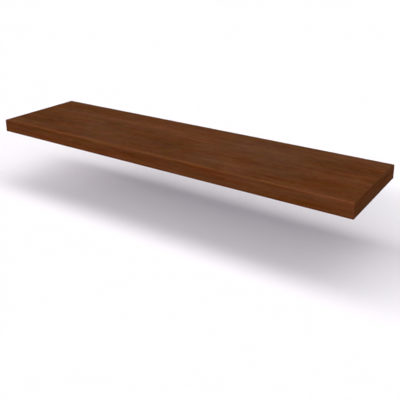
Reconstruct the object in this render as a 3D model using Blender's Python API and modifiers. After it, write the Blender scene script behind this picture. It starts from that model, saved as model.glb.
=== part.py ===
"""A floating wall shelf: a hollow 40 mm board that slides onto a hidden steel bracket.

The board is a torsion box. Two thin fibreboard skins are glued over a frame of rails, expanded paper
honeycomb fills the bays, and edge bands close the front and the ends. Four steel rods stand out of a
wall plate and run into bored cross rails, and two lock screws in the underside bear on the outer rods.

Frame: +X along the shelf, -Y out from the wall, +Z up. The origin is on the wall plane, in the middle
of the wall plate's back face. All sizes are in metres.
"""

import math

import bmesh
import bpy
from mathutils import Matrix, Vector

# The board's outside
BOARD_LENGTH = 1.200
BOARD_DEPTH = 0.300
BOARD_THICKNESS = 0.040

# The board's pieces
SKIN_THICKNESS = 0.003
BAND_THICKNESS = 0.003
BAND_LAND = 0.0004  # flat left on a band's edge inside its rounded arris
FRONT_RAIL_WIDTH = 0.040
END_RAIL_WIDTH = 0.040
BACK_RAIL_WIDTH = 0.030
CROSS_RAIL_WIDTH = 0.056
GLUE_GAP = 0.0003  # between pieces that are glued or rest on each other

# The paper honeycomb
CELL_WIDTH = 0.032
PAPER_THICKNESS = 0.0006

# The bracket
ROD_COUNT = 4
ROD_DIAMETER = 0.016
ROD_CHAMFER = 0.002
ROD_FROM_END = 0.150  # the outer rod's axis to the end of the board
ROD_TIP_ROOM = 0.030  # the rod's tip to the front rail
ROD_FIT = 0.0003  # radial play of a rod in its bore
PLATE_THICKNESS = 0.005
PLATE_CORNER_RADIUS = 0.003
PLATE_PLAY = 0.002  # above and below the plate, between the skins
PLATE_END_PLAY = 0.003  # between the plate and each end rail
PLATE_SEAT_PLAY = 0.001  # between the plate and the back rail
SLOT_WIDTH = 0.0065
SLOT_LENGTH = 0.014
SLOT_FROM_ROD = 0.045

# The countersunk bolts that hold the rods to the plate
BOLT_DIAMETER = 0.008
BOLT_GRIP = 0.016  # thread inside the rod
BOLT_HOLE_ROOM = 0.002  # past the bolt's end
BOLT_SOCKET_WIDTH = 0.005
BOLT_SOCKET_DEPTH = 0.0025
BOLT_RECESS = 0.0003  # the head lies this far below the plate's back face
PLATE_LAND = 0.001  # straight hole left in front of the countersink
BOLT_FIT = 0.0003

# The lock screws and the inserts that they turn in
LOCK_DIAMETER = 0.006
LOCK_FROM_BACK_RAIL = 0.030
LOCK_SOCKET_WIDTH = 0.003
LOCK_SOCKET_DEPTH = 0.003
LOCK_CHAMFER = 0.0007
LOCK_RECESS = 0.0015  # the screw's end lies this far inside the underside
LOCK_TIP_GAP = 0.0003  # between the screw's tip and the rod
LOCK_FIT = 0.0002
INSERT_WALL = 0.0016
INSERT_RECESS = 0.0003
INSERT_ROOF = 0.002  # rail left between the insert and the rod's bore
INSERT_FIT = 0.0003

# How finely round shapes are drawn
ROUND_STEPS = 32
SMALL_STEPS = 24
BAND_STEPS = 4
CORNER_STEPS = 3
SHARP_ANGLE = math.radians(35)
CUT_MARGIN = 0.002  # how far a cutter runs past the face that it cuts

# Where the pieces end, worked out from the sizes above
ROD_RADIUS = ROD_DIAMETER / 2
BORE_RADIUS = ROD_RADIUS + ROD_FIT
BAND_RADIUS = BAND_THICKNESS - BAND_LAND

Z_TOP = BOARD_THICKNESS / 2
Z_SKIN = Z_TOP - SKIN_THICKNESS
Z_RAIL = Z_SKIN - GLUE_GAP

X_END = BOARD_LENGTH / 2
X_PANEL = X_END - BAND_THICKNESS - GLUE_GAP
X_INSIDE = X_PANEL - END_RAIL_WIDTH
X_BACK_RAIL = X_INSIDE - GLUE_GAP

Y_FRONT = -BOARD_DEPTH
Y_BAND = Y_FRONT + BAND_THICKNESS
Y_PANEL = Y_BAND + GLUE_GAP
Y_FRONT_RAIL = Y_PANEL + FRONT_RAIL_WIDTH
Y_BAY_FRONT = Y_FRONT_RAIL + GLUE_GAP
Y_BACK_SEAT = -PLATE_THICKNESS - PLATE_SEAT_PLAY
Y_BACK_RAIL = Y_BACK_SEAT - BACK_RAIL_WIDTH
Y_BAY_BACK = Y_BACK_RAIL - GLUE_GAP

Y_ROD_SEAT = -PLATE_THICKNESS - GLUE_GAP
Y_ROD_TIP = Y_FRONT_RAIL + ROD_TIP_ROOM
ROD_PITCH = (BOARD_LENGTH - 2 * ROD_FROM_END) / (ROD_COUNT - 1)
ROD_PLACES = [(index - (ROD_COUNT - 1) / 2) * ROD_PITCH for index in range(ROD_COUNT)]
LOCK_PLACES = [ROD_PLACES[0], ROD_PLACES[-1]]
Y_LOCK = Y_BAY_BACK - LOCK_FROM_BACK_RAIL
INSERT_RADIUS = LOCK_DIAMETER / 2 + INSERT_WALL
INSERT_TOP = -BORE_RADIUS - INSERT_ROOF
BOLT_HOLE_RADIUS = BOLT_DIAMETER / 2 + BOLT_FIT
SINK_DEPTH = PLATE_THICKNESS - PLATE_LAND

# Turns a shape's own Z axis so that it points out from the wall
OUTWARD = Matrix.Rotation(math.radians(90), 4, "X")


def clear_scene():
    for old in list(bpy.data.objects):
        bpy.data.objects.remove(old)


def new_collection(name):
    made = bpy.data.collections.new(name)
    bpy.context.scene.collection.children.link(made)
    return made


def new_material(name, colour, roughness, metallic=0.0):
    made = bpy.data.materials.new(name)
    made.use_nodes = True
    shader = made.node_tree.nodes["Principled BSDF"]
    shader.inputs["Base Color"].default_value = (*colour, 1.0)
    shader.inputs["Roughness"].default_value = roughness
    shader.inputs["Metallic"].default_value = metallic
    return made


def new_group(name):
    """An empty that carries the pieces which move together."""
    made = bpy.data.objects.new(name, None)
    PARTS.objects.link(made)
    return made


def add_piece(name, mesh, place, material, group):
    made = bpy.data.objects.new(name, mesh)
    made.matrix_basis = place
    made.parent = group
    if not mesh.materials:
        mesh.materials.append(material)
    PARTS.objects.link(made)
    return made


def finished_mesh(name, shape):
    mesh = bpy.data.meshes.new(name)
    shape.to_mesh(mesh)
    shape.free()
    return mesh


def shade_round(mesh):
    """Shades the mesh smooth, and leaves its corners sharp."""
    mesh.shade_smooth()
    mesh.set_sharp_from_angle(angle=SHARP_ANGLE)
    return mesh


def add_box(name, low, high, material, group):
    """A square-edged board between two corners."""
    low, high = Vector(low), Vector(high)
    shape = bmesh.new()
    bmesh.ops.create_cube(shape, size=1.0)
    bmesh.ops.scale(shape, vec=high - low, verts=shape.verts)
    centre = Matrix.Translation((low + high) / 2)
    return add_piece(name, finished_mesh(name, shape), centre, material, group)


def round_edges(piece, is_rounded, radius, steps):
    """Rounds the edges of a box for which is_rounded(its middle) holds."""
    shape = bmesh.new()
    shape.from_mesh(piece.data)
    chosen = [
        edge
        for edge in shape.edges
        if is_rounded((edge.verts[0].co + edge.verts[1].co) / 2)
    ]
    bmesh.ops.bevel(
        shape,
        geom=chosen,
        offset=radius,
        offset_type="OFFSET",
        segments=steps,
        profile=0.5,
        affect="EDGES",
        clamp_overlap=True,
        material=-1,
    )
    shape.to_mesh(piece.data)
    shape.free()
    return piece


def turned_mesh(name, profile, steps, closed=False):
    """A turned shape about Z, from its outline as (radius, height) down its outer side."""
    outline = bpy.data.meshes.new(f"{name}_outline")
    last = len(profile) - 1
    edges = [(index, index + 1) for index in range(last)]
    if closed:
        edges.append((last, 0))
    outline.from_pydata([(radius, 0, height) for radius, height in profile], edges, [])
    guide = bpy.data.objects.new(outline.name, outline)
    CUTTERS.objects.link(guide)
    screw = guide.modifiers.new("Turn", "SCREW")
    screw.steps = screw.render_steps = steps
    screw.use_merge_vertices = True
    screw.merge_threshold = 1e-6

    # Only faces can be shaded, so the turned surface is kept in place of the outline.
    turned = guide.evaluated_get(bpy.context.evaluated_depsgraph_get())
    mesh = bpy.data.meshes.new_from_object(turned)
    mesh.name = name
    bpy.data.objects.remove(guide)
    bpy.data.meshes.remove(outline)
    return shade_round(mesh)


def bar_mesh(name, radius, low, high, sides):
    """A round or six-sided bar along Z, between two heights."""
    shape = bmesh.new()
    bmesh.ops.create_cone(
        shape,
        cap_ends=True,
        segments=sides,
        radius1=radius,
        radius2=radius,
        depth=high - low,
    )
    bmesh.ops.translate(shape, vec=(0, 0, (low + high) / 2), verts=shape.verts)
    return shade_round(finished_mesh(name, shape))


def slot_mesh(name, width, length, low, high):
    """A bar along Z with the outline of a slot: a round bar, cut in two and drawn apart along X."""
    shape = bmesh.new()
    bmesh.ops.create_cone(
        shape,
        cap_ends=True,
        segments=SMALL_STEPS,
        radius1=width / 2,
        radius2=width / 2,
        depth=high - low,
        matrix=Matrix.Rotation(math.pi / SMALL_STEPS, 4, "Z"),
    )
    bmesh.ops.translate(shape, vec=(0, 0, (low + high) / 2), verts=shape.verts)
    for side in (-1, 1):
        half = [corner for corner in shape.verts if corner.co.x * side > 0]
        bmesh.ops.translate(shape, vec=(side * (length - width) / 2, 0, 0), verts=half)
    return shade_round(finished_mesh(name, shape))


def add_cutter(name, copies):
    """One cutter, made of a copy of each mesh at its place."""
    shape = bmesh.new()
    for mesh, place in copies:
        before = len(shape.verts)
        shape.from_mesh(mesh)
        bmesh.ops.transform(shape, matrix=place, verts=list(shape.verts)[before:])
    made = bpy.data.objects.new(name, finished_mesh(name, shape))
    made.hide_render = True
    made.display_type = "WIRE"
    CUTTERS.objects.link(made)
    return made


def cut(piece, cutter):
    boolean = piece.modifiers.new(cutter.name, "BOOLEAN")
    boolean.operation = "DIFFERENCE"
    boolean.solver = "EXACT"
    boolean.object = cutter
    return piece


def add_skins():
    """Thin fibreboard faces with the walnut finish, glued above and below the frame."""
    add_box("top_skin", (-X_PANEL, Y_PANEL, Z_SKIN), (X_PANEL, 0, Z_TOP), WALNUT, BOARD)
    bottom = add_box(
        "bottom_skin",
        (-X_PANEL, Y_PANEL, -Z_TOP),
        (X_PANEL, 0, -Z_SKIN),
        WALNUT,
        BOARD,
    )
    hole = bar_mesh(
        "skin_hole",
        INSERT_RADIUS + INSERT_FIT,
        -Z_TOP - CUT_MARGIN,
        -Z_SKIN + CUT_MARGIN,
        SMALL_STEPS,
    )
    places = [Matrix.Translation((place, Y_LOCK, 0)) for place in LOCK_PLACES]
    cut(bottom, add_cutter("skin_holes", [(hole, place) for place in places]))


def add_front_band():
    """The front edge band runs past the end bands, and its outer arrises are all rounded."""
    band = add_box(
        "front_edge_band",
        (-X_END, Y_FRONT, -Z_TOP),
        (X_END, Y_BAND, Z_TOP),
        BAND_WALNUT,
        BOARD,
    )
    round_edges(band, lambda middle: middle.y < BAND_LAND, BAND_RADIUS, BAND_STEPS)
    shade_round(band.data)


def add_end_band(name, side):
    """An end band, from the front band back to the wall, rounded along its top and bottom."""
    inner, outer = side * (X_END - BAND_THICKNESS), side * X_END
    band = add_box(
        name,
        (min(inner, outer), Y_PANEL, -Z_TOP),
        (max(inner, outer), 0, Z_TOP),
        BAND_WALNUT,
        BOARD,
    )

    def outer_long_edge(middle):
        return middle.x * side > 0 and abs(middle.y) < BAND_LAND and middle.z != 0

    round_edges(band, outer_long_edge, BAND_RADIUS, BAND_STEPS)
    shade_round(band.data)


def rod_bore(name, back, front):
    """The bore that a rod slides in, from one Y to another, on the rod's own axis."""
    return bar_mesh(name, BORE_RADIUS, -back - CUT_MARGIN, -front + CUT_MARGIN, ROUND_STEPS)


def rod_place(place):
    return Matrix.Translation((place, 0, 0)) @ OUTWARD


def add_frame():
    """The front rail runs from end to end, and the end rails butt against it and reach the wall."""
    add_box(
        "front_rail",
        (-X_PANEL, Y_PANEL, -Z_RAIL),
        (X_PANEL, Y_FRONT_RAIL, Z_RAIL),
        CHIPBOARD,
        BOARD,
    )
    for name, side in (("left_end_rail", -1), ("right_end_rail", 1)):
        inner, outer = side * X_INSIDE, side * X_PANEL
        add_box(
            name,
            (min(inner, outer), Y_BAY_FRONT, -Z_RAIL),
            (max(inner, outer), 0, Z_RAIL),
            CHIPBOARD,
            BOARD,
        )
    back = add_box(
        "back_rail",
        (-X_BACK_RAIL, Y_BACK_RAIL, -Z_RAIL),
        (X_BACK_RAIL, Y_BACK_SEAT, Z_RAIL),
        CHIPBOARD,
        BOARD,
    )
    bore = rod_bore("back_rail_bore", Y_BACK_SEAT, Y_BACK_RAIL)
    bores = [(bore, rod_place(place)) for place in ROD_PLACES]
    cut(back, add_cutter("back_rail_bores", bores))


def add_cross_rails():
    """Softwood rails from the back rail to the front rail, each bored end to end for its rod."""
    bore = rod_bore("cross_rail_bore", Y_BAY_BACK, Y_BAY_FRONT)
    lock_hole = turned_mesh(
        "lock_hole",
        [
            (0, 0),
            (LOCK_DIAMETER / 2 + LOCK_FIT, 0),
            (LOCK_DIAMETER / 2 + LOCK_FIT, INSERT_TOP + GLUE_GAP),
            (INSERT_RADIUS + INSERT_FIT, INSERT_TOP + GLUE_GAP),
            (INSERT_RADIUS + INSERT_FIT, -Z_TOP),
            (0, -Z_TOP),
        ],
        SMALL_STEPS,
    )
    for index, place in enumerate(ROD_PLACES, start=1):
        rail = add_box(
            f"cross_rail_{index}",
            (place - CROSS_RAIL_WIDTH / 2, Y_BAY_FRONT, -Z_RAIL),
            (place + CROSS_RAIL_WIDTH / 2, Y_BAY_BACK, Z_RAIL),
            SOFTWOOD,
            BOARD,
        )
        cut(rail, add_cutter(f"cross_rail_bore_{index}", [(bore, rod_place(place))]))
        if place in LOCK_PLACES:
            upright = Matrix.Translation((place, Y_LOCK, 0))
            cut(rail, add_cutter(f"lock_hole_{index}", [(lock_hole, upright)]))


def add_locks():
    """Brass inserts flush with the underside, and the socket screws that bear on the outer rods."""
    thread = LOCK_DIAMETER / 2
    insert_foot = -Z_TOP + INSERT_RECESS
    insert = turned_mesh(
        "lock_insert",
        [
            (INSERT_RADIUS, INSERT_TOP),
            (INSERT_RADIUS, insert_foot),
            (thread, insert_foot),
            (thread, INSERT_TOP),
        ],
        SMALL_STEPS,
        closed=True,
    )
    radius = thread - LOCK_FIT
    tip = -ROD_RADIUS - LOCK_TIP_GAP
    foot = -Z_TOP + LOCK_RECESS
    screw = turned_mesh(
        "lock_screw",
        [
            (0, tip),
            (radius - LOCK_CHAMFER, tip),
            (radius, tip - LOCK_CHAMFER),
            (radius, foot + LOCK_CHAMFER),
            (radius - LOCK_CHAMFER, foot),
            (0, foot),
        ],
        SMALL_STEPS,
    )
    socket = bar_mesh(
        "lock_socket",
        LOCK_SOCKET_WIDTH / math.sqrt(3),
        foot - CUT_MARGIN,
        foot + LOCK_SOCKET_DEPTH,
        6,
    )
    for index, place in enumerate(LOCK_PLACES, start=1):
        upright = Matrix.Translation((place, Y_LOCK, 0))
        add_piece(f"lock_insert_{index}", insert, upright, BRASS, BOARD)
        piece = add_piece(f"lock_screw_{index}", screw, upright, BLACK_STEEL, BOARD)
        cut(piece, add_cutter(f"lock_socket_{index}", [(socket, upright)]))


def strip_path(left, right, front, pitch, rows):
    """One paper strip from above: it swings from side to side, and runs straight at each swing."""
    path = [(left, front)]
    for row in range(rows):
        near, far = (left, right) if row % 2 == 0 else (right, left)
        path.append((near, front + (row + 1 / 3) * pitch))
        path.append((far, front + (row + 2 / 3) * pitch))
    path.append((left if rows % 2 == 0 else right, front + rows * pitch))
    return path


def add_honeycomb(name, low_x, high_x):
    """Expanded paper core: strips glued to their neighbours at every other straight."""
    half_wall = PAPER_THICKNESS / 2
    left, front = low_x + GLUE_GAP + half_wall, Y_BAY_FRONT + GLUE_GAP
    width = high_x - GLUE_GAP - half_wall - left
    depth = Y_BAY_BACK - GLUE_GAP - front
    strips = max(2, round(width / (CELL_WIDTH / 2)))
    rows = max(2, round(depth / (CELL_WIDTH * math.sqrt(3) / 2)))

    shape = bmesh.new()
    for strip in range(strips):
        glue_lines = [left + width * step / strips for step in (strip, strip + 1)]
        if strip % 2:
            glue_lines.reverse()
        path = strip_path(*glue_lines, front, depth / rows, rows)
        corners = [shape.verts.new((x, y, -Z_RAIL)) for x, y in path]
        for pair in zip(corners, corners[1:]):
            shape.edges.new(pair)
    bmesh.ops.remove_doubles(shape, verts=shape.verts, dist=half_wall / 10)
    grown = bmesh.ops.extrude_edge_only(shape, edges=shape.edges)
    lifted = [part for part in grown["geom"] if isinstance(part, bmesh.types.BMVert)]
    bmesh.ops.translate(shape, vec=(0, 0, 2 * Z_RAIL), verts=lifted)

    core = add_piece(name, finished_mesh(name, shape), Matrix.Identity(4), PAPER, BOARD)
    walls = core.modifiers.new("Paper walls", "SOLIDIFY")
    walls.solidify_mode = "NON_MANIFOLD"
    walls.nonmanifold_thickness_mode = "EVEN"
    walls.nonmanifold_boundary_mode = "FLAT"
    walls.nonmanifold_merge_threshold = 1e-5
    walls.thickness = PAPER_THICKNESS
    walls.offset = 0


def add_cores():
    """One block of honeycomb for each bay between the end rails and the cross rails."""
    half = CROSS_RAIL_WIDTH / 2
    lows = [-X_INSIDE] + [place + half for place in ROD_PLACES]
    highs = [place - half for place in ROD_PLACES] + [X_INSIDE]
    for index, (low, high) in enumerate(zip(lows, highs), start=1):
        add_honeycomb(f"honeycomb_core_{index}", low, high)


def add_wall_plate():
    """A punched steel bar with a countersunk hole behind each rod, and a slot on each side of it."""
    half_length = X_INSIDE - PLATE_END_PLAY
    half_height = Z_SKIN - PLATE_PLAY
    plate = add_box(
        "wall_plate",
        (-half_length, -PLATE_THICKNESS, -half_height),
        (half_length, 0, half_height),
        ZINC,
        BRACKET,
    )
    round_edges(plate, lambda middle: middle.y == 0, PLATE_CORNER_RADIUS, CORNER_STEPS)
    bolt_hole = turned_mesh(
        "bolt_hole",
        [
            (0, PLATE_THICKNESS + CUT_MARGIN),
            (BOLT_HOLE_RADIUS, PLATE_THICKNESS + CUT_MARGIN),
            (BOLT_HOLE_RADIUS, SINK_DEPTH),
            (BOLT_HOLE_RADIUS + SINK_DEPTH + CUT_MARGIN, -CUT_MARGIN),
            (0, -CUT_MARGIN),
        ],
        SMALL_STEPS,
    )
    slot = slot_mesh(
        "slot", SLOT_WIDTH, SLOT_LENGTH, -CUT_MARGIN, PLATE_THICKNESS + CUT_MARGIN
    )
    holes = []
    for place in ROD_PLACES:
        holes.append((bolt_hole, rod_place(place)))
        holes.append((slot, rod_place(place - SLOT_FROM_ROD)))
        holes.append((slot, rod_place(place + SLOT_FROM_ROD)))
    cut(plate, add_cutter("plate_holes", holes))


def add_rods():
    """Round steel bars with a chamfered tip and a tapped hole in their back end."""
    seat, tip = -Y_ROD_SEAT, -Y_ROD_TIP
    hole_end = seat + BOLT_GRIP + BOLT_HOLE_ROOM
    rod = turned_mesh(
        "support_rod",
        [
            (0, tip),
            (ROD_RADIUS - ROD_CHAMFER, tip),
            (ROD_RADIUS, tip - ROD_CHAMFER),
            (ROD_RADIUS, seat),
            (BOLT_HOLE_RADIUS, seat),
            (BOLT_HOLE_RADIUS, hole_end),
            (0, hole_end),
        ],
        ROUND_STEPS,
    )
    for index, place in enumerate(ROD_PLACES, start=1):
        add_piece(f"support_rod_{index}", rod, rod_place(place), ZINC, BRACKET)


def add_rod_bolts():
    """Countersunk socket bolts, through the plate from the wall side into the rods."""
    radius = BOLT_DIAMETER / 2
    end = -Y_ROD_SEAT + BOLT_GRIP
    bolt = turned_mesh(
        "rod_bolt",
        [
            (0, end),
            (radius, end),
            (radius, SINK_DEPTH),
            (radius + SINK_DEPTH - BOLT_RECESS, BOLT_RECESS),
            (0, BOLT_RECESS),
        ],
        SMALL_STEPS,
    )
    socket = bar_mesh(
        "bolt_socket",
        BOLT_SOCKET_WIDTH / math.sqrt(3),
        -CUT_MARGIN,
        BOLT_RECESS + BOLT_SOCKET_DEPTH,
        6,
    )
    for index, place in enumerate(ROD_PLACES, start=1):
        piece = add_piece(f"rod_bolt_{index}", bolt, rod_place(place), BLACK_STEEL, BRACKET)
        cut(piece, add_cutter(f"bolt_socket_{index}", [(socket, rod_place(place))]))


clear_scene()
PARTS = new_collection("floating_shelf")
CUTTERS = new_collection("cutters")

WALNUT = new_material("walnut_finish", (0.120, 0.042, 0.015), 0.42)
BAND_WALNUT = new_material("walnut_edge_band", (0.120, 0.042, 0.015), 0.40)
CHIPBOARD = new_material("chipboard", (0.46, 0.32, 0.18), 0.85)
SOFTWOOD = new_material("softwood", (0.62, 0.45, 0.26), 0.70)
PAPER = new_material("kraft_paper", (0.42, 0.27, 0.15), 0.90)
ZINC = new_material("zinc_plated_steel", (0.62, 0.62, 0.60), 0.35, metallic=1.0)
BLACK_STEEL = new_material("blackened_steel", (0.03, 0.03, 0.03), 0.40, metallic=1.0)
BRASS = new_material("brass", (0.70, 0.50, 0.20), 0.35, metallic=1.0)

BRACKET = new_group("bracket")
BOARD = new_group("board")

add_skins()
add_front_band()
add_end_band("left_edge_band", -1)
add_end_band("right_edge_band", 1)
add_frame()
add_cross_rails()
add_cores()
add_locks()
add_wall_plate()
add_rods()
add_rod_bolts()
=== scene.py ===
"""A floating wall shelf, dressed: a walnut-faced hollow board that slides onto a steel bracket.

The sections follow the order in which the shelf is put together: first the bracket, which is
screwed to the wall, then the board's frame, its core, its faces and bands, and the lock screws.
The floor, the room, the lamp and the camera come last. Sizes are in metres: +X along the shelf,
-Y out from the wall, +Z up.
"""

import math

import bmesh
import bpy
from mathutils import Matrix, Vector


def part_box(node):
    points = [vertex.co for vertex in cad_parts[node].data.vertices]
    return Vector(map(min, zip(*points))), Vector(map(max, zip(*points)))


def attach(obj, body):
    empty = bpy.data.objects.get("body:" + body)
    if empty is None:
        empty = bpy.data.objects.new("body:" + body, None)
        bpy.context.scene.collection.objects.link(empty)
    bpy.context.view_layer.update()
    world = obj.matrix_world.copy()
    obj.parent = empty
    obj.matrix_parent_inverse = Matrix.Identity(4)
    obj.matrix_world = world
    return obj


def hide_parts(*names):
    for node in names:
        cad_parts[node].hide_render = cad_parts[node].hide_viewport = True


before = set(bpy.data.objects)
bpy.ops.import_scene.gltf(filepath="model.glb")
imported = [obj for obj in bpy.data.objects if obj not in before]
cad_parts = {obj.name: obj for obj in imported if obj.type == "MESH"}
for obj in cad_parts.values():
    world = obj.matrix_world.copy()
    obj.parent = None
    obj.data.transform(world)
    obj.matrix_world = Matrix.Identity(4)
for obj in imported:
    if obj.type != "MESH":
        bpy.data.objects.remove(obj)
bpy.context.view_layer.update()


# The wall plate is a 30 x 5 mm flat bar of mild steel, sawn to length. Its slots are punched, its
# four bolt holes are countersunk from the wall side, and then it is zinc plated, which leaves soft
# clouds of bluish and yellowish grey over the fine lines that rolling left along the bar.
ZINC_PALE = (0.50, 0.50, 0.485)
ZINC_BLUE = (0.33, 0.355, 0.38)
ZINC_STRAW = (0.45, 0.41, 0.325)
ZINC_RUBBED = (0.64, 0.63, 0.60)
PLATE_HALF_HEIGHT = 0.015
PLATE_RIM = (PLATE_HALF_HEIGHT - 0.0009, PLATE_HALF_HEIGHT - 0.0001)
PLATE_FRONT = -0.005
ROD_SPACING = 0.3
SLOT_FROM_ROD = 0.045
SLOT_HALF_STRAIGHT = 0.00375
SLOT_RADIUS = 0.00325
SLOT_RIM = (0.0001, 0.0011)
BOLT_SINK_RADIUS = 0.0083
BOLT_SINK_RIM = (0.0001, 0.0007)
BOLT_SINK_REACH = PLATE_FRONT + 0.0005


class Wire:
    """One value in a finish. Arithmetic on it adds the Math nodes that work it out."""

    def __init__(self, finish, socket):
        self.finish = finish
        self.socket = socket

    def work(self, operation, *values):
        return self.finish.node("ShaderNodeMath", {"operation": operation}, dict(enumerate(values)))

    def __add__(self, other):
        return self.work("ADD", self, other)

    def __radd__(self, other):
        return self.work("ADD", other, self)

    def __sub__(self, other):
        return self.work("SUBTRACT", self, other)

    def __rsub__(self, other):
        return self.work("SUBTRACT", other, self)

    def __mul__(self, other):
        return self.work("MULTIPLY", self, other)

    def __truediv__(self, other):
        return self.work("DIVIDE", self, other)

    def __rtruediv__(self, other):
        return self.work("DIVIDE", other, self)

    def __pow__(self, other):
        return self.work("POWER", self, other)

    def __abs__(self):
        return self.work("ABSOLUTE", self)

    def __gt__(self, other):
        return self.work("GREATER_THAN", self, other)

    def __lt__(self, other):
        return self.work("LESS_THAN", self, other)

    def most(self, other):
        return self.work("MAXIMUM", self, other)

    def fraction(self):
        """What is left of the value past its last whole number, for rings that repeat."""
        return self.work("FRACT", self)

    def between(self, low, high):
        """0 below low, 1 above high, and a soft step from one to the other."""
        settings = {"interpolation_type": "SMOOTHSTEP"}
        return self.finish.node("ShaderNodeMapRange", settings, {0: self, 1: low, 2: high})


class Finish:
    """One material, built on its Principled shader from the place of each point in metres."""

    def __init__(self, name, roughness, metallic=0.0, specular=0.5):
        self.material = bpy.data.materials.new(name)
        self.material.use_nodes = True
        self.tree = self.material.node_tree
        self.shader = self.tree.nodes["Principled BSDF"]
        self.shader.inputs["Roughness"].default_value = roughness
        self.shader.inputs["Metallic"].default_value = metallic
        self.shader.inputs["Specular IOR Level"].default_value = specular
        self.place = self.node("ShaderNodeTexCoord", output="Object")

    def put(self, socket, value):
        """Links a worked-out value to a socket, or writes a plain number or colour in it."""
        if isinstance(value, Wire):
            self.tree.links.new(value.socket, socket)
        elif socket.type == "RGBA":
            socket.default_value = (*value, 1.0)
        else:
            socket.default_value = value

    def node(self, kind, settings=None, values=None, output=0):
        """Adds a node with its settings and what goes into it, and returns one of its outputs."""
        made = self.tree.nodes.new(kind)
        for name, value in (settings or {}).items():
            setattr(made, name, value)
        for key, value in (values or {}).items():
            self.put(made.inputs[key], value)
        return Wire(self, made.outputs[output])

    def axes(self):
        """How far along X, Y and Z a point lies, as three values."""
        parts = self.node("ShaderNodeSeparateXYZ", values={0: self.place}).socket.node
        return [Wire(self, socket) for socket in parts.outputs]

    def turn(self, angle):
        """Turns everything that is drawn from here on about Z, for grain that runs another way."""
        values = {"Vector": self.place, "Rotation": (0, 0, angle)}
        self.place = self.node("ShaderNodeMapping", values=values)

    def clouds(self, per_metre, detail=2.0, warp=0.0, shift=(0, 0, 0), rough=0.5):
        """Soft noise about 0, from about -0.5 to 0.5, with its own count per metre on each axis."""
        values = {"Vector": self.place, "Location": shift, "Scale": per_metre}
        spread = self.node("ShaderNodeMapping", values=values)
        values = {"Vector": spread, "Scale": 1.0, "Detail": detail, "Roughness": rough}
        values["Distortion"] = warp
        return self.node("ShaderNodeTexNoise", values=values) - 0.5

    def mix(self, factor, first, second):
        """The first colour where the factor is 0, the second where it is 1."""
        settings = {"data_type": "RGBA", "clamp_factor": True}
        return self.node("ShaderNodeMix", settings, {0: factor, 6: first, 7: second}, output=2)

    def shade(self, colour, brightness):
        """The colour so many times as bright."""
        values = {0: colour, "Scale": brightness}
        return self.node("ShaderNodeVectorMath", {"operation": "SCALE"}, values)

    def tint(self, colour, amount, added):
        """The colour with so much of another added to it."""
        values = {0: added, 1: amount, 2: colour}
        return self.node("ShaderNodeVectorMath", {"operation": "MULTIPLY_ADD"}, values)

    def paint(self, colour, roughness=None, relief=None, depth=0.0002):
        """Feeds the shader: a colour, and if given a roughness and a relief of so many metres."""
        self.put(self.shader.inputs["Base Color"], colour)
        if roughness is not None:
            self.put(self.shader.inputs["Roughness"], roughness)
        if relief is not None:
            bump = self.node("ShaderNodeBump", values={"Height": relief, "Distance": depth})
            self.put(self.shader.inputs["Normal"], bump)


def dress(finish, *names):
    """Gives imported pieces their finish."""
    for name in names:
        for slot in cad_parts[name].material_slots:
            slot.material = finish.material


def from_rod(along):
    """How far along X a point lies from the nearest rod's axis, to one side or the other."""
    return abs(abs(along) - ROD_SPACING) - ROD_SPACING / 2


def plated(finish):
    """The clouded grey of zinc on steel."""
    cloud = finish.clouds((38, 38, 38), detail=3, warp=0.6)
    tint = finish.clouds((9, 14, 14), detail=2)
    grey = finish.mix((cloud * 2.2).between(-0.6, 0.9), ZINC_BLUE, ZINC_PALE)
    return finish.mix((tint * 2.0).between(0.0, 0.9) * 0.7, grey, ZINC_STRAW)


plate_zinc = Finish("zinc_plated_bar", roughness=0.36, metallic=1.0)
along, out, up = plate_zinc.axes()
rolled = plate_zinc.clouds((6, 900, 900), detail=2)
speckle = plate_zinc.clouds((420, 420, 420), detail=2)
past_rod = abs(from_rod(along))
past_slot = (abs(past_rod - SLOT_FROM_ROD) - SLOT_HALF_STRAIGHT).most(0.0)
slot_rim = (past_slot**2 + up**2) ** 0.5 - SLOT_RADIUS
sink_rim = (past_rod**2 + up**2) ** 0.5 - BOLT_SINK_RADIUS
slot_wear = 1 - slot_rim.between(*SLOT_RIM)
sink_wear = (1 - abs(sink_rim).between(*BOLT_SINK_RIM)) * (out > BOLT_SINK_REACH)
edge_wear = abs(up).between(*PLATE_RIM)
worn = slot_wear.most(sink_wear).most(edge_wear) * (0.75 + speckle)
plate_zinc.paint(
    plate_zinc.shade(plate_zinc.mix(worn, plated(plate_zinc), ZINC_RUBBED), 1 + rolled * 0.30),
    roughness=0.36 + rolled * 0.35 + speckle * 0.12 - worn * 0.10,
    relief=rolled * 0.5 + speckle * 0.4,
    depth=0.00012,
)
dress(plate_zinc, "wall_plate")


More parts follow.
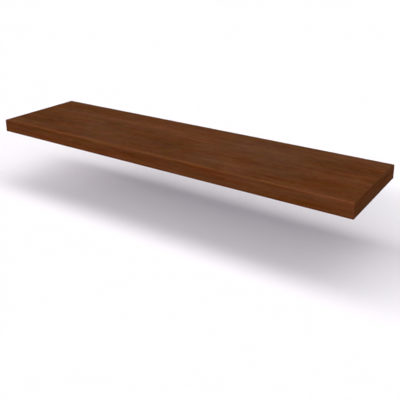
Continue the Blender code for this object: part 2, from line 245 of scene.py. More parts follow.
# The support rods are four bars of 16 mm drawn round steel, faced and chamfered in a lathe, centre
# drilled at the tip and tapped M8 behind. They are zinc plated too, and where the board has been
# pushed on and off they are rubbed bright along the top.
ROD_PLACES = (-0.45, -0.15, 0.15, 0.45)
ROD_RADIUS = 0.008
ROD_SEAT = 0.0053
ROD_TIP = 0.2267
ROD_CHAMFER = 0.0020
ROD_BACK_CHAMFER = 0.0004
ROD_CENTRE_RADIUS = 0.0016
ROD_CENTRE_DEPTH = 0.0016
ROD_PILOT_RADIUS = 0.0009
ROD_PILOT_DEPTH = 0.0012
ROD_TAP_RADIUS = 0.0043
ROD_TAP_CHAMFER = 0.0006
ROD_TAP_END = ROD_SEAT + 0.0180
ROD_FACED = (ROD_TIP - 0.0022, ROD_TIP - 0.0016)
ROD_RUBBED = (0.0058, 0.0078)
ROD_STEPS = 72
TOUCHING = 1e-6
ROD_OUTLINE = (
    (0.0, ROD_TIP - ROD_CENTRE_DEPTH),
    (ROD_PILOT_RADIUS, ROD_TIP - ROD_PILOT_DEPTH),
    (ROD_CENTRE_RADIUS, ROD_TIP),
    (ROD_RADIUS - ROD_CHAMFER, ROD_TIP),
    (ROD_RADIUS, ROD_TIP - ROD_CHAMFER),
    (ROD_RADIUS, ROD_SEAT + ROD_BACK_CHAMFER),
    (ROD_RADIUS - ROD_BACK_CHAMFER, ROD_SEAT),
    (ROD_TAP_RADIUS + ROD_TAP_CHAMFER, ROD_SEAT),
    (ROD_TAP_RADIUS, ROD_SEAT + ROD_TAP_CHAMFER),
    (ROD_TAP_RADIUS, ROD_TAP_END),
    (0.0, ROD_TAP_END),
)


def turned(outline, steps):
    """A shape turned about Z in a new bmesh, from (radius, height) points down its outer side."""
    shape = bmesh.new()
    points = [shape.verts.new((radius, 0, height)) for radius, height in outline]
    line = [shape.edges.new(pair) for pair in zip(points, points[1:])]
    bmesh.ops.spin(
        shape,
        geom=points + line,
        axis=(0, 0, 1),
        angle=2 * math.pi,
        steps=steps,
        use_merge=True,
    )
    return shape


def out_of_wall(place):
    """Lays a shape that was turned about Z along a rod's axis, its heights out from the wall."""
    return Matrix.Translation((place, 0, 0)) @ Matrix.Rotation(math.radians(90), 4, "X")


def finished(name, shape, finish, body, place=Matrix.Identity(4), sharp=40):
    """Closes a bmesh at its place into a shown piece that rides on its body."""
    bmesh.ops.transform(shape, matrix=place, verts=shape.verts)
    bmesh.ops.remove_doubles(shape, verts=shape.verts, dist=TOUCHING)
    bmesh.ops.recalc_face_normals(shape, faces=shape.faces)
    mesh = bpy.data.meshes.new(name)
    shape.to_mesh(mesh)
    shape.free()
    mesh.materials.append(finish.material)
    mesh.shade_smooth()
    mesh.set_sharp_from_angle(angle=math.radians(sharp))
    piece = bpy.data.objects.new(name, mesh)
    bpy.context.scene.collection.objects.link(piece)
    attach(piece, body)
    return piece


rod_zinc = Finish("zinc_plated_rod", roughness=0.30, metallic=1.0)
_, out, up = rod_zinc.axes()
drawn = rod_zinc.clouds((1400, 10, 1400), detail=2)
turning = rod_zinc.clouds((30, 2600, 30), detail=1)
scuffs = rod_zinc.clouds((700, 9, 700), detail=2)
faced_tip = (out * -1).between(*ROD_FACED)
rub = up.between(*ROD_RUBBED) * scuffs.between(-0.12, 0.25)
bright = rub.most(faced_tip * 0.5)
rod_zinc.paint(
    rod_zinc.shade(rod_zinc.mix(bright, plated(rod_zinc), ZINC_RUBBED), 1 + drawn * 0.25),
    roughness=0.32 + drawn * 0.30 + turning * 0.10 - bright * 0.08,
    relief=drawn * 0.5 + turning * 0.4 * faced_tip,
    depth=0.00008,
)
for number, place in enumerate(ROD_PLACES, start=1):
    rod = finished(
        f"steel_rod_{number}",
        turned(ROD_OUTLINE, ROD_STEPS),
        rod_zinc,
        "bracket",
        out_of_wall(place),
    )
    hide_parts(f"support_rod_{number}")


# The rod bolts are M8 countersunk socket screws of blackened steel, one through the plate into each
# rod from the wall side. Their 5 mm hexagon sockets are rubbed bright at the corners by the key.
BLACK_OXIDE = (0.030, 0.031, 0.034)
BLACK_RUST = (0.075, 0.045, 0.030)
BLACK_RUBBED = (0.22, 0.21, 0.20)
M8_RADIUS = 0.0040
M8_PITCH = 0.00125
THREAD_STEPS = 36
THREAD_DEPTH = 0.6
THREAD_CREST = (0.45, 0.60)
BOLT_FACE = 0.0003
BOLT_HEAD_RADIUS = 0.0077
BOLT_HEAD_ARRIS = 0.0002
BOLT_HEAD_FOOT = 0.0040
BOLT_END = 0.0213
BOLT_END_RADIUS = 0.0030
BOLT_THREAD = (BOLT_END - 0.0006, BOLT_HEAD_FOOT + 0.001)
BOLT_MOUTH = 0.0034
BOLT_SOCKET = 0.005
BOLT_SOCKET_FLOOR = 0.0028
SOCKET_LEAD = 0.08
KEY_RUB_RADIUS = 0.0027
KEY_RUB_RIM = (0.0001, 0.0006)


def thread(radius, pitch, start, end):
    """The outline of a thread as close rings, from its start to its end along the screw."""
    crests = int(abs(end - start) / pitch)
    step = (end - start) / crests
    root = radius - THREAD_DEPTH * pitch
    points = []
    for crest in range(crests):
        points.append((root, start + step * crest))
        for side in THREAD_CREST:
            points.append((radius, start + step * (crest + side)))
    points.append((root, end))
    return points


def socket_screw(outline, mouth, face, floor, width):
    """A turned screw with a hexagon socket. The outline ends on its face at the mouth's radius."""
    shape = turned(outline, THREAD_STEPS)
    depth = floor - face
    rim = [
        edge
        for edge in shape.edges
        if all(
            abs(end.co.z - face) < TOUCHING and abs(end.co.xy.length - mouth) < TOUCHING
            for end in edge.verts
        )
    ]
    corners = bmesh.ops.create_circle(
        shape,
        segments=6,
        radius=width / math.sqrt(3),
        matrix=Matrix.Translation((0, 0, face + depth * SOCKET_LEAD)),
    )["verts"]
    hexagon = list({edge for corner in corners for edge in corner.link_edges})
    bmesh.ops.bridge_loops(shape, edges=rim + hexagon)
    walls = bmesh.ops.extrude_edge_only(shape, edges=hexagon)["geom"]
    low = [part for part in walls if isinstance(part, bmesh.types.BMVert)]
    bmesh.ops.translate(shape, vec=(0, 0, depth * (1 - SOCKET_LEAD)), verts=low)
    edges = [part for part in walls if isinstance(part, bmesh.types.BMEdge)]
    foot = [edge for edge in edges if all(end in low for end in edge.verts)]
    bmesh.ops.contextual_create(shape, geom=foot)
    return shape


black = Finish("blackened_steel", roughness=0.42, metallic=1.0)
along, _, up = black.axes()
smoke = black.clouds((600, 600, 600), detail=2)
rust = black.clouds((190, 190, 190), detail=3)
from_axis = (from_rod(along) ** 2 + up**2) ** 0.5
key_rub = (1 - abs(from_axis - KEY_RUB_RADIUS).between(*KEY_RUB_RIM)) * (0.8 + smoke)
oxide = black.mix((rust * 2).between(0.1, 0.8) * 0.5, BLACK_OXIDE, BLACK_RUST)
black.paint(
    black.mix(key_rub * 0.7, oxide, BLACK_RUBBED),
    roughness=0.44 + smoke * 0.25 - key_rub * 0.12,
    relief=smoke,
    depth=0.00005,
)
bolt_outline = [(0.0, BOLT_END), (BOLT_END_RADIUS, BOLT_END)]
bolt_outline += thread(M8_RADIUS, M8_PITCH, *BOLT_THREAD)
bolt_outline += [
    (M8_RADIUS, BOLT_HEAD_FOOT),
    (BOLT_HEAD_RADIUS, BOLT_FACE + BOLT_HEAD_ARRIS),
    (BOLT_HEAD_RADIUS - BOLT_HEAD_ARRIS, BOLT_FACE),
    (BOLT_MOUTH, BOLT_FACE),
]
for number, place in enumerate(ROD_PLACES, start=1):
    bolt = finished(
        f"socket_bolt_{number}",
        socket_screw(bolt_outline, BOLT_MOUTH, BOLT_FACE, BOLT_SOCKET_FLOOR, BOLT_SOCKET),
        black,
        "bracket",
        out_of_wall(place),
        sharp=30,
    )
    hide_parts(f"rod_bolt_{number}")


# The front, end and back rails are ripped from 33 mm chipboard and glued at the corners. The sawn
# faces show its coarse middle of pressed chips and the finer, denser layers near the two faces, and
# the back rail is bored for the rods.
CHIP_DARK = (0.34, 0.21, 0.105)
CHIP_MIDDLE = (0.50, 0.345, 0.19)
CHIP_PALE = (0.62, 0.45, 0.27)
CHIPS_PER_METRE = (210, 330, 640)
CHIP_WARP = 0.7
CHIP_GAP = (0.0, 0.14)
FINE_LAYER = 0.0125
FINE_LAYER_BLEND = 0.003

chipboard = Finish("chipboard", roughness=0.88, specular=0.25)
up = chipboard.axes()[2]
values = {"Vector": chipboard.place, "Scale": CHIPS_PER_METRE}
chips = chipboard.node("ShaderNodeMapping", values=values)
warp = chipboard.node("ShaderNodeTexNoise", values={"Vector": chips, "Scale": CHIP_WARP}, output=1)
chips = chipboard.node("ShaderNodeVectorMath", {"operation": "ADD"}, {0: chips, 1: warp})
values = {"Vector": chips, "Scale": 1.0}
cells = chipboard.node("ShaderNodeTexVoronoi", {"feature": "F1"}, values, output=1)
gaps = chipboard.node("ShaderNodeTexVoronoi", {"feature": "DISTANCE_TO_EDGE"}, values)
tone = chipboard.node("ShaderNodeSeparateColor", values={0: cells})
fibre = chipboard.clouds((500, 2200, 2200), detail=3)
middle = 1 - abs(up).between(FINE_LAYER - FINE_LAYER_BLEND, FINE_LAYER + FINE_LAYER_BLEND)
pressed = chipboard.clouds((160, 260, 420), detail=2, shift=(4, 1, 2)).between(-0.06, 0.16)
# The gaps between chips in the coarse middle are pressed in by the relief and painted up to half as
# dark, a painted shade in these hollows.
crack = (1 - gaps.between(*CHIP_GAP)) * middle * pressed
darker_chips = chipboard.mix(tone.between(0.0, 0.5), CHIP_DARK, CHIP_MIDDLE)
all_chips = chipboard.mix(tone.between(0.45, 0.95), darker_chips, CHIP_PALE)
sawn = chipboard.mix(middle * 0.85, CHIP_MIDDLE, all_chips)
chipboard.paint(
    chipboard.shade(sawn, (1 + fibre * 0.7) * (1 - crack * 0.5)),
    roughness=0.88 + fibre * 0.1,
    relief=(1 - crack) * 0.7 + fibre * 0.5,
    depth=0.0004,
)
dress(chipboard, "front_rail", "left_end_rail", "right_end_rail", "back_rail")


# The cross rails are planed spruce, glued between the front and the back rail, each bored from end
# to end for its rod. The year rings lie round a heart below the board, so they show as long flames
# on the faces and as arcs on the ends.
SPRUCE_EARLY = (0.66, 0.49, 0.29)
SPRUCE_LATE = (0.46, 0.27, 0.125)
HEART_BELOW = 0.055
RING_WIDTH = 0.0032
RING_DARKENS = (0.35, 0.92)
RING_ENDS = (0.94, 1.0)
SWAY_ACROSS = 0.02
SWAY_UP = 0.03

spruce = Finish("planed_spruce", roughness=0.66, specular=0.3)
along, _, up = spruce.axes()
sway = spruce.clouds((9, 3, 9), detail=2)
across = from_rod(along) + sway * SWAY_ACROSS
height = up + HEART_BELOW + sway * SWAY_UP
rings = (across**2 + height**2) ** 0.5 / RING_WIDTH + spruce.clouds((60, 8, 60)) * 0.8
year = rings.fraction()
late = year.between(*RING_DARKENS) * (1 - year.between(*RING_ENDS))
fibre = spruce.clouds((1500, 24, 1500), detail=2)
spruce.paint(
    spruce.shade(spruce.mix(late * 0.8, SPRUCE_EARLY, SPRUCE_LATE), 1 + fibre * 0.35),
    roughness=0.66 + fibre * 0.2 - late * 0.08,
    relief=fibre + late * 0.4,
    depth=0.00015,
)
dress(spruce, *(f"cross_rail_{number}" for number in range(1, 5)))


# The core is brown kraft paper, glued in strips and drawn out into honeycomb, a block for each bay.
# Short fibres and faint ribs from the paper machine show on its walls. Its cut edges are pale.
KRAFT = (0.40, 0.255, 0.14)
KRAFT_PALE = (0.52, 0.36, 0.22)
CORE_HALF_HEIGHT = 0.0167
CORE_CUT = (CORE_HALF_HEIGHT - 0.0005, CORE_HALF_HEIGHT - 0.0001)

kraft = Finish("kraft_paper", roughness=0.92, specular=0.2)
up = kraft.axes()[2]
pulp = kraft.clouds((900, 900, 260), detail=3, warp=0.8)
ribs = kraft.clouds((40, 40, 1500), detail=1)
blotch = kraft.clouds((50, 50, 50), detail=2)
paper = kraft.mix(abs(up).between(*CORE_CUT), KRAFT, KRAFT_PALE)
kraft.paint(
    kraft.shade(paper, 1 + pulp * 0.45 + ribs * 0.16 + blotch * 0.3),
    roughness=0.92 + pulp * 0.1,
    relief=pulp + ribs * 0.5,
    depth=0.0001,
)
dress(kraft, *(f"honeycomb_core_{number}" for number in range(1, 6)))


# The top and bottom skins are 3 mm fibreboard, faced with 0.6 mm walnut veneer and stained and
# sealed to a dull satin. The veneer is quiet: soft brown streaks and a few broad paler, darker and
# pinker patches run along the shelf. The bare fibreboard shows only at the back edge.
WALNUT = (0.1096, 0.0376, 0.0131)
WALNUT_PALER = (0.0077, 0.0038, 0.0024)
WALNUT_PINKER = (-0.0066, 0.0004, 0.0016)
WALNUT_GREENER = (-0.0013, 0.0024, -0.0007)
WALNUT_STREAK = (0.066, 0.0205, 0.0058)
WALNUT_ROUGHNESS = 0.50
WALNUT_GLOSS = 0.0008
WALNUT_RELIEF = 0.00006
VENEER_FOOT = 0.0194
VENEER_FOOT_BLEND = 0.00002
FIBREBOARD = (0.36, 0.245, 0.14)
FIBREBOARD_ROUGHNESS = 0.9
FIBREBOARD_MIDDLE = 0.0182
FIBREBOARD_HALF = 0.0013
SHELF_END = 0.600
SHELF_FRONT = -0.300
SHELF_FACE = 0.020
# The front arrises, top and bottom, and a strip behind them carry a painted highlight where light
# catches the rounded edge: these are its widths and strengths.
ARRIS_WIDTH = (0.0050, 0.0130)
ARRIS_DROP = (0.0004, 0.0021)
STRIP_WIDTH = (0.0060, 0.0300)
ARRIS_HIGHLIGHT = 0.24
STRIP_HIGHLIGHT = 0.13
# The patches are listed, guided by the broad tones measured on the photo's top. Each has its middle
# along X and Y, half its length, half its width, and how much paler it is, or darker where that is
# below 0.
PALER_PATCHES = (
    (-0.14, -0.100, 0.36, 0.026, 1.6),
    (-0.26, -0.092, 0.06, 0.014, 1.2),
    (-0.09, -0.088, 0.09, 0.014, 1.3),
    (0.27, -0.130, 0.11, 0.060, 1.5),
    (0.13, -0.160, 0.03, 0.012, 1.5),
    (0.22, -0.242, 0.10, 0.020, 1.6),
    (-0.24, -0.195, 0.08, 0.030, 1.2),
    (-0.48, -0.046, 0.09, 0.018, -1.7),
    (-0.51, -0.205, 0.11, 0.040, -1.8),
    (0.03, -0.215, 0.10, 0.055, -1.8),
    (0.19, -0.190, 0.05, 0.008, -1.8),
    (0.50, -0.092, 0.12, 0.028, -2.2),
    (0.42, -0.210, 0.14, 0.040, -0.8),
    (0.44, -0.258, 0.11, 0.008, -2.0),
    (-0.27, -0.135, 0.05, 0.007, -1.6),
)
# The same, with how much pinker each is, or redder where that is below 0.
PINKER_PATCHES = (
    (0.28, -0.090, 0.10, 0.080, 1.3),
    (0.36, -0.170, 0.08, 0.060, 0.5),
    (-0.27, -0.190, 0.08, 0.050, 1.0),
    (0.52, -0.210, 0.08, 0.100, -0.9),
    (-0.10, -0.070, 0.14, 0.050, -0.6),
)


def patched(amount, along, across, patches):
    """The amount with each broad soft patch added."""
    for middle_x, middle_y, half_length, half_width, strength in patches:
        away = ((along - middle_x) / half_length) ** 2 + ((across - middle_y) / half_width) ** 2
        amount = amount + strength / (1 + away**2)
    return amount


def walnut(finish, tone, lumps=(15, 26), paler_patches=(), pinker_patches=()):
    """Figure along the finish's own X: returns its colour, roughness and relief."""
    along, across, _ = finish.axes()
    long, wide = lumps
    broad = finish.clouds((3.2, 15, 15), detail=1, warp=0.3)
    mottle = finish.clouds((long, wide, wide), detail=4, rough=0.90, shift=(5, 2, 1))
    streak = finish.clouds((4.5, 95, 95), detail=3, warp=0.5, shift=(3, 1, 7))
    fine = finish.clouds((16, 620, 620), detail=2)
    pore = finish.clouds((70, 2300, 2300), detail=1).between(0.13, 0.24)
    blush = finish.clouds((long * 0.6, wide, wide), detail=4, rough=0.82, shift=(2, 8, 3))
    olive = finish.clouds((long, wide * 1.5, wide * 1.5), detail=4, rough=0.85, shift=(7, 4, 9))
    contours = finish.clouds((2.2, 42, 42), detail=1, warp=1.2, shift=(9, 2, 4)) * 9
    flame = contours.fraction().between(0.25, 0.95) * 0.5

    paler = broad * 2.5 + mottle * 12 + streak * 8 + fine * 3
    paler = patched(paler, along, across, paler_patches)
    pinker = patched(blush * 10, along, across, pinker_patches)
    colour = finish.tint(tone, paler, WALNUT_PALER)
    colour = finish.tint(colour, pinker, WALNUT_PINKER)
    colour = finish.tint(colour, olive * 11, WALNUT_GREENER)
    dark = (streak * 2.2).between(0.35, 0.95) * 0.35 + flame * 0.12
    colour = finish.mix(dark, colour, WALNUT_STREAK)
    colour = finish.shade(colour, (1 + fine * 0.22) * (1 - pore * 0.30))
    return colour, WALNUT_ROUGHNESS + fine * 0.12 + pore * 0.15, fine * 0.25 - pore


def arris_highlight(finish):
    """How much a painted highlight brightens the front arrises, and less so the strip behind."""
    _, out, up = finish.axes()
    inward = out - SHELF_FRONT
    inside = SHELF_FACE - abs(up)
    patchy = 1 + finish.clouds((7, 30, 30), detail=2) * 0.9
    arris = (1 - inward.between(*ARRIS_WIDTH)) * (1 - inside.between(*ARRIS_DROP))
    strip = (1 - inward.between(*STRIP_WIDTH)) * (inside < ARRIS_DROP[1])
    return (arris * ARRIS_HIGHLIGHT + strip * STRIP_HIGHLIGHT) * patchy


skin = Finish("walnut_veneer_on_fibreboard", WALNUT_ROUGHNESS, specular=WALNUT_GLOSS)
up = skin.axes()[2]
veneer, veneer_roughness, veneer_relief = walnut(
    skin, WALNUT, paler_patches=PALER_PATCHES, pinker_patches=PINKER_PATCHES
)
faced = abs(up).between(VENEER_FOOT - VENEER_FOOT_BLEND, VENEER_FOOT + VENEER_FOOT_BLEND)
felt = skin.clouds((260, 900, 1800), detail=3)
dense = abs(abs(up) - FIBREBOARD_MIDDLE).between(0.0, FIBREBOARD_HALF)
fibreboard = skin.shade(FIBREBOARD, (1 + felt * 0.55) * (1 - dense * 0.18))
# The veneer's strip behind the front arris carries the painted highlight.
skin.paint(
    skin.mix(faced, fibreboard, skin.shade(veneer, 1 + arris_highlight(skin))),
    roughness=FIBREBOARD_ROUGHNESS - faced * (FIBREBOARD_ROUGHNESS - veneer_roughness),
    relief=veneer_relief * faced + felt * (1 - faced),
    depth=WALNUT_RELIEF,
)
dress(skin, "top_skin", "bottom_skin")


# The edge bands are 3 mm solid walnut, glued on with their grain along the edge and rounded over on
# their outer arrises after sanding. The front band runs past the ends of the other two, so its end
# grain shows at the front corners, and its arrises carry a painted highlight, a little paler where
# light would catch them.
# The front band's tone is its own walnut, lifted a little above the top's to make up for the light
# on the front face, which is painted light.
FRONT_WALNUT = (0.1143, 0.0358, 0.0111)
END_WALNUT = (0.1087, 0.0365, 0.0110)
END_GRAIN = (SHELF_END - 0.0010, SHELF_END - 0.0004)
END_GRAIN_DARKER = 0.14
BAND_LUMPS = (7, 40)
BAND_ROUND = 0.0026
BAND_SEGMENTS = 7
HAIR = 0.0001


def band(name, low, high, is_rounded, finish):
    """A flat strip between two corners, rounded along the edges that is_rounded picks out."""
    shape = bmesh.new()
    bmesh.ops.create_cube(shape, size=1.0)
    bmesh.ops.scale(shape, vec=high - low, verts=shape.verts)
    bmesh.ops.translate(shape, vec=(low + high) / 2, verts=shape.verts)
    outer = [
        edge for edge in shape.edges if is_rounded((edge.verts[0].co + edge.verts[1].co) / 2)
    ]
    bmesh.ops.bevel(
        shape,
        geom=outer,
        offset=BAND_ROUND,
        offset_type="OFFSET",
        segments=BAND_SEGMENTS,
        profile=0.5,
        affect="EDGES",
        material=-1,
    )
    piece = finished(name, shape, finish, "board", sharp=35)
    smooth = piece.modifiers.new("flat faces stay flat", "WEIGHTED_NORMAL")
    smooth.keep_sharp = True
    return piece


def at_end_arris(middle):
    """Whether an edge with this middle is the top or bottom arris of the shelf's end."""
    return abs(middle.x) > SHELF_END - HAIR and abs(middle.z) > SHELF_FACE - HAIR


def at_front_or_end(middle):
    """The same, or one of the four arrises round the shelf's front face."""
    return middle.y < SHELF_FRONT + HAIR or at_end_arris(middle)


front_walnut = Finish("walnut_front_band", WALNUT_ROUGHNESS, specular=WALNUT_GLOSS)
along = front_walnut.axes()[0]
colour, roughness, relief = walnut(front_walnut, FRONT_WALNUT, BAND_LUMPS)
end_grain = abs(along).between(*END_GRAIN) * END_GRAIN_DARKER
# The front band's arrises carry the painted highlight.
colour = front_walnut.shade(colour, (1 + arris_highlight(front_walnut)) * (1 - end_grain))
front_walnut.paint(colour, roughness, relief, depth=WALNUT_RELIEF)

end_walnut = Finish("walnut_end_band", WALNUT_ROUGHNESS, specular=WALNUT_GLOSS)
end_walnut.turn(math.radians(90))
end_walnut.paint(*walnut(end_walnut, END_WALNUT, BAND_LUMPS), depth=WALNUT_RELIEF)

front_low, front_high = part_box("front_edge_band")
front_band = band("front_band", front_low, front_high, at_front_or_end, front_walnut)
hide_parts("front_edge_band")
for word in ("left", "right"):
    end_low, end_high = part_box(f"{word}_edge_band")
    end_band = band(f"{word}_band", end_low, end_high, at_end_arris, end_walnut)
    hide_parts(f"{word}_edge_band")


# Glue lines: a hair of dark glue stands in the joint between each skin and the three bands, a touch
# below the surface, where sanding has broken its edge.
GLUE_BROWN = (0.040, 0.018, 0.008)
GLUE_WIDTH = 0.0003
GLUE_BELOW = 0.0001
SKIN_THICKNESS = 0.003

glue = Finish("dried_glue", roughness=0.5, specular=0.1)
glue.paint(glue.shade(GLUE_BROWN, 1 + glue.clouds((120, 120, 120), detail=2) * 0.8))
for word, side in (("top", 1), ("bottom", -1)):
    skin_low, skin_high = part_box(f"{word}_skin")
    route = (
        (skin_low.x - GLUE_WIDTH, skin_high.y),
        (skin_low.x - GLUE_WIDTH, skin_low.y - GLUE_WIDTH),
        (skin_high.x + GLUE_WIDTH, skin_low.y - GLUE_WIDTH),
        (skin_high.x + GLUE_WIDTH, skin_high.y),
        (skin_high.x, skin_high.y),
        (skin_high.x, skin_low.y),
        (skin_low.x, skin_low.y),
        (skin_low.x, skin_high.y),
    )
    shape = bmesh.new()
    level = side * (SHELF_FACE - GLUE_BELOW)
    outline = shape.faces.new([shape.verts.new((x, y, level)) for x, y in route])
    walls = bmesh.ops.extrude_face_region(shape, geom=[outline])["geom"]
    inner = [part for part in walls if isinstance(part, bmesh.types.BMVert)]
    inward = -side * (SKIN_THICKNESS - GLUE_BELOW)
    bmesh.ops.translate(shape, vec=(0, 0, inward), verts=inner)
    finished(f"glue_line_{word}", shape, glue, "board")


# The lock inserts are brass sleeves, turned in a lathe, tapped M6 inside and pressed up into the
# underside, one under each outer rod. Rings round the outside hold them in the wood.
BRASS_BRIGHT = (0.72, 0.52, 0.22)
BRASS_DULL = (0.42, 0.27, 0.11)
LOCK_PLACES = (-0.45, 0.45)
SLEEVE_RADIUS = 0.0046
SLEEVE_ROOT = 0.0040
SLEEVE_BORE = 0.0031
SLEEVE_CHAMFER = 0.0003
SLEEVE_LEAD = 0.0004
SLEEVE_COLLAR = 0.0011
SLEEVE_RINGS_FROM = 0.0014
SLEEVE_RING_PITCH = 0.0012

brass = Finish("turned_brass", roughness=0.32, metallic=1.0)
tarnish = brass.clouds((260, 260, 260), detail=3)
lathe = brass.clouds((900, 900, 3500), detail=1)
brass.paint(
    brass.mix((tarnish * 2).between(-0.1, 0.9), BRASS_BRIGHT, BRASS_DULL),
    roughness=0.32 + tarnish * 0.3 + lathe * 0.1,
    relief=lathe,
    depth=0.00003,
)
sleeve_low, sleeve_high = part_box("lock_insert_1")
lock_out = (sleeve_low.y + sleeve_high.y) / 2
foot, top = sleeve_low.z, sleeve_high.z
rings_foot = foot + SLEEVE_RINGS_FROM
outer_rings = thread(SLEEVE_RADIUS, SLEEVE_RING_PITCH, top - SLEEVE_LEAD, rings_foot)
sleeve_outline = [(SLEEVE_BORE, top), (SLEEVE_RADIUS - SLEEVE_LEAD, top)]
sleeve_outline += [(max(radius, SLEEVE_ROOT), height) for radius, height in outer_rings]
sleeve_outline += [
    (SLEEVE_RADIUS, foot + SLEEVE_COLLAR),
    (SLEEVE_RADIUS, foot),
    (SLEEVE_BORE + SLEEVE_CHAMFER, foot),
    (SLEEVE_BORE, foot + SLEEVE_CHAMFER),
    (SLEEVE_BORE, top),
]
for number, place in enumerate(LOCK_PLACES, start=1):
    sleeve = finished(
        f"brass_sleeve_{number}",
        turned(sleeve_outline, THREAD_STEPS),
        brass,
        "board",
        Matrix.Translation((place, lock_out, 0)),
        sharp=30,
    )
    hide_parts(f"lock_insert_{number}")


# The lock screws are M6 set screws of blackened steel, turned up through the sleeves with a 3 mm
# key until their flat tips bear on the rods and the board can't be drawn off.
SET_BLACK = (0.034, 0.034, 0.036)
M6_RADIUS = 0.0028
M6_PITCH = 0.001
LOCK_TIP = -0.0083
LOCK_TIP_RADIUS = 0.0020
LOCK_FOOT = -0.0185
LOCK_FOOT_RADIUS = 0.0024
LOCK_THREAD = (LOCK_TIP - 0.0006, LOCK_FOOT + 0.0005)
LOCK_MOUTH = 0.0020
LOCK_SOCKET = 0.003
LOCK_SOCKET_FLOOR = LOCK_FOOT + 0.003

set_black = Finish("blackened_set_screw", roughness=0.40, metallic=1.0)
smoke = set_black.clouds((700, 700, 700), detail=2)
set_black.paint(
    set_black.shade(SET_BLACK, 1 + smoke * 1.2),
    roughness=0.42 + smoke * 0.3,
    relief=smoke,
    depth=0.00004,
)
set_outline = [(0.0, LOCK_TIP), (LOCK_TIP_RADIUS, LOCK_TIP)]
set_outline += thread(M6_RADIUS, M6_PITCH, *LOCK_THREAD)
set_outline += [(LOCK_FOOT_RADIUS, LOCK_FOOT), (LOCK_MOUTH, LOCK_FOOT)]
for number, place in enumerate(LOCK_PLACES, start=1):
    screw = finished(
        f"set_screw_{number}",
        socket_screw(set_outline, LOCK_MOUTH, LOCK_FOOT, LOCK_SOCKET_FLOOR, LOCK_SOCKET),
        set_black,
        "board",
        Matrix.Translation((place, lock_out, 0)),
        sharp=30,
    )
    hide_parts(f"lock_screw_{number}")


# The floor is a plain white sheet well below the shelf. The camera sees it just pale enough to be
# white in the open, with a faint lift that leaves the shelf's shadow a little lavender.
FLOOR_BELOW = 0.18
FLOOR_RADIUS = 12.0
FLOOR_STEPS = 96
FLOOR_WHITE = (0.88, 0.85, 0.89)
FLOOR_SEEN = (0.985, 0.946, 0.945)
FLOOR_LIFT = (0.018, 0.028, 0.070)


def in_view(finish):
    """1 for what the camera sees, straight on or in shiny metal, 0 for what lights the shelf."""
    seen = finish.node("ShaderNodeLightPath", output="Is Camera Ray")
    shiny = Wire(finish, seen.socket.node.outputs["Is Glossy Ray"])
    clear = Wire(finish, seen.socket.node.outputs["Is Transmission Ray"])
    return seen.most(shiny).most(clear)


sheet = Finish("floor_white", roughness=1.0, specular=0.0)
seen = in_view(sheet)
sheet.paint(sheet.mix(seen, FLOOR_WHITE, FLOOR_SEEN))
sheet.put(sheet.shader.inputs["Emission Color"], sheet.mix(seen, (0, 0, 0), FLOOR_LIFT))
sheet.put(sheet.shader.inputs["Emission Strength"], 1.0)

shape = bmesh.new()
bmesh.ops.create_circle(shape, cap_ends=True, segments=FLOOR_STEPS, radius=FLOOR_RADIUS)
bmesh.ops.translate(shape, vec=(0, 0, -FLOOR_BELOW), verts=shape.verts)
bmesh.ops.recalc_face_normals(shape, faces=shape.faces)
floor_mesh = bpy.data.meshes.new("floor")
shape.to_mesh(floor_mesh)
shape.free()
floor_mesh.materials.append(sheet.material)
floor = bpy.data.objects.new("floor", floor_mesh)
bpy.context.scene.collection.objects.link(floor)


# The room is white, with a wide rounded frame of light tubes hung overhead, brighter to the front
# and left. Its soft inner edge gives the shadow a wide pale rim round a dark middle. Its sizes are
# slopes off the upright, right and back, so 1 is 45 degrees, and are fitted to the photo's shadow.
SKY = 0.04
TUBES = 5.12
TUBES_MIDDLE = (0.34, -0.60)
TUBES_REACH = (3.2, 1.22)
TUBES_LEAN = (-0.64, -0.58)
TUBES_INNER = (0.41, 0.87)
TUBES_OUTER = (0.98, 1.02)
TUBES_CORNERS = 3
HORIZON = 0.05


class Surroundings(Finish):
    """What lies all round, built on the world's shader from the direction of each point in it."""

    def __init__(self, name):
        world = bpy.data.worlds.new(name)
        world.use_nodes = True
        bpy.context.scene.world = world
        self.tree = world.node_tree
        self.shader = self.tree.nodes["Background"]
        self.place = self.node("ShaderNodeTexCoord", output="Generated")


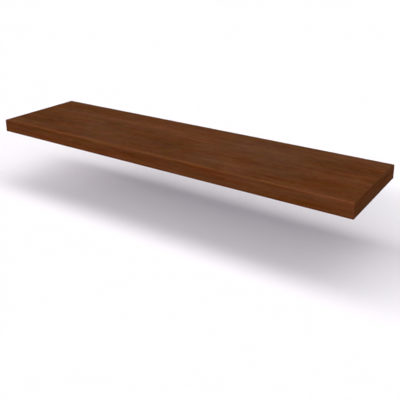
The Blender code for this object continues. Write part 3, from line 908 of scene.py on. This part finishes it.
room = Surroundings("white_room")
east, north, upward = room.axes()
across = (east / upward - TUBES_MIDDLE[0]) / TUBES_REACH[0]
deep = (north / upward - TUBES_MIDDLE[1]) / TUBES_REACH[1]
from_middle = (abs(across) ** TUBES_CORNERS + abs(deep) ** TUBES_CORNERS) ** (1 / TUBES_CORNERS)
tubes = from_middle.between(*TUBES_INNER) * (1 - from_middle.between(*TUBES_OUTER))
overhead = tubes * (upward > HORIZON)
leaning = 1 + across * TUBES_LEAN[0] + deep * TUBES_LEAN[1]
lighting = SKY + overhead * leaning * TUBES
view = in_view(room)
room.put(room.shader.inputs["Color"], (1, 1, 1))
room.put(room.shader.inputs["Strength"], lighting * (1 - view) + view)


# The lamp is a single large soft one, hung high in front of the shelf inside the frame of tubes. It
# is turned low and fills in a little of what the tubes leave dark.
LAMP_FROM = Vector((0.0, -0.90, 1.0))
LAMP_WIDE = math.radians(60)
LAMP_LEVEL = 0.03

lamp_data = bpy.data.lights.new("soft_lamp", "SUN")
lamp_data.angle = LAMP_WIDE
lamp_data.energy = LAMP_LEVEL * math.pi / LAMP_FROM.normalized().z
lamp = bpy.data.objects.new("soft_lamp", lamp_data)
lamp.rotation_euler = LAMP_FROM.to_track_quat("Z", "Y").to_euler()
bpy.context.scene.collection.objects.link(lamp)


# The camera stands in front of the right end, above the shelf, and looks down along it. Its lens is
# shifted by a fifth of the film's width, which keeps the upright edges nearer to upright.
CAMERA_PLACE = (0.9935, -1.5116, 0.5812)
CAMERA_TILT = math.radians(73.46)
CAMERA_TURN = math.radians(33.87)
CAMERA_LENS = 53.43
CAMERA_FILM = 36.0
CAMERA_SHIFT = -0.20
CAMERA_NEAREST = 0.05

camera_data = bpy.data.cameras.new("camera")
camera_data.lens = CAMERA_LENS
camera_data.sensor_width = CAMERA_FILM
camera_data.clip_start = CAMERA_NEAREST
camera_data.shift_y = CAMERA_SHIFT
camera = bpy.data.objects.new("camera", camera_data)
camera.location = CAMERA_PLACE
camera.rotation_euler = (CAMERA_TILT, 0, CAMERA_TURN)
bpy.context.scene.collection.objects.link(camera)
bpy.context.scene.camera = camera
bpy.context.scene.view_settings.view_transform = "Standard"
